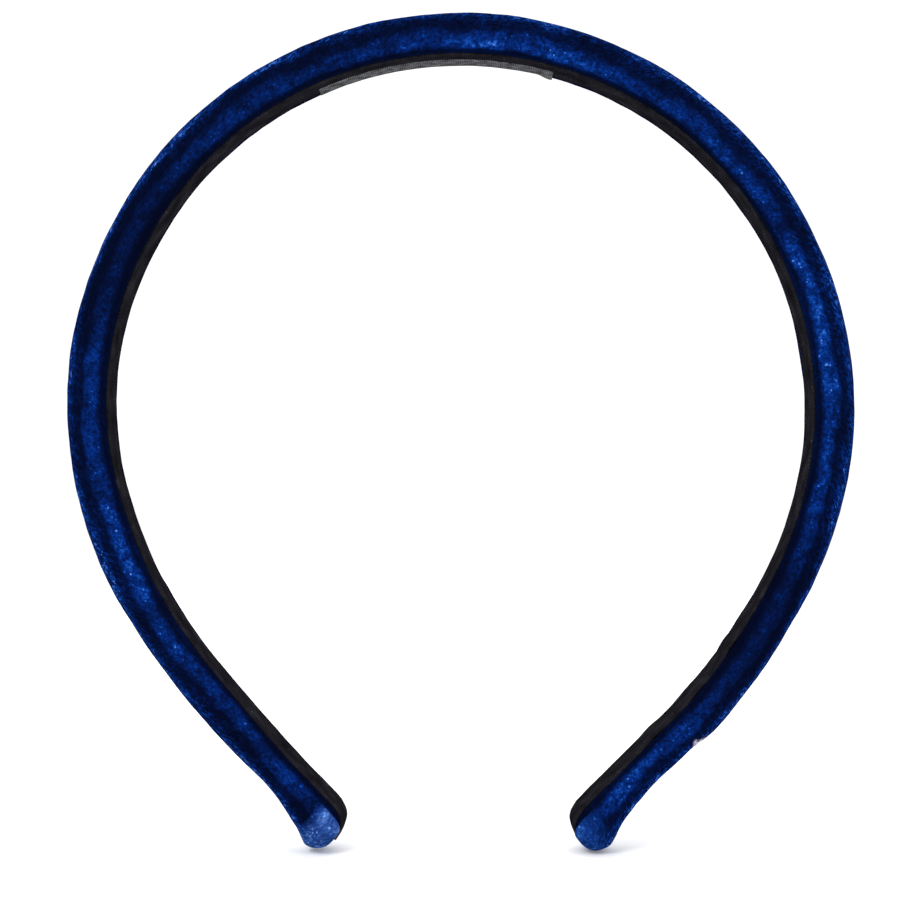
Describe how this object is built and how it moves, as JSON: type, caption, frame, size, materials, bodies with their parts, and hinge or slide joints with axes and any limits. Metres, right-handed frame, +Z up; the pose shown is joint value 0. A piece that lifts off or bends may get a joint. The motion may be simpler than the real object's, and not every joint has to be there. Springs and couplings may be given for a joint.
{
  "type": "padded headband",
  "caption": "Slim padded Alice band in crushed blue velvet with a charcoal ribbon lining and a plain woven label.",
  "frame": {"origin": "centre of the footprint at the height of the two tips", "axes": "+Z up over the head, X across the head, Y along the width of the band"},
  "size_m": [0.149, 0.018, 0.1588],
  "materials": {
    "velvet_blue": "crushed velvet",
    "tip_velvet": "folded velvet",
    "lining_charcoal": "ribbed ribbon",
    "label_grey": "woven",
    "foam": "open cell",
    "core_plastic": "moulded"
  },
  "bodies": {
    "crown": {"velvet_crown": "velvet_blue", "foam_crown": "foam", "core_crown": "core_plastic", "lining_crown": "lining_charcoal", "woven_label": "label_grey"},
    "left_arm": {"velvet_left": "velvet_blue", "foam_left": "foam", "core_left": "core_plastic", "lining_left": "lining_charcoal", "tip_patch_left": "tip_velvet"},
    "right_arm": {"velvet_right": "velvet_blue", "foam_right": "foam", "core_right": "core_plastic", "lining_right": "lining_charcoal", "tip_patch_right": "tip_velvet"}
  },
  "joints": [
    {"name": "left_arm_flex", "type": "hinge", "parent": "crown", "child": "left_arm", "pos_m": [-0.05076, 0, 0.12968], "axis": [0, 1, 0], "range_deg": [-8, 18], "stiffness_Nm_per_rad": 0.8},
    {"name": "right_arm_flex", "type": "hinge", "parent": "crown", "child": "right_arm", "pos_m": [0.05076, 0, 0.12968], "axis": [0, -1, 0], "range_deg": [-8, 18], "stiffness_Nm_per_rad": 0.8}
  ]
}
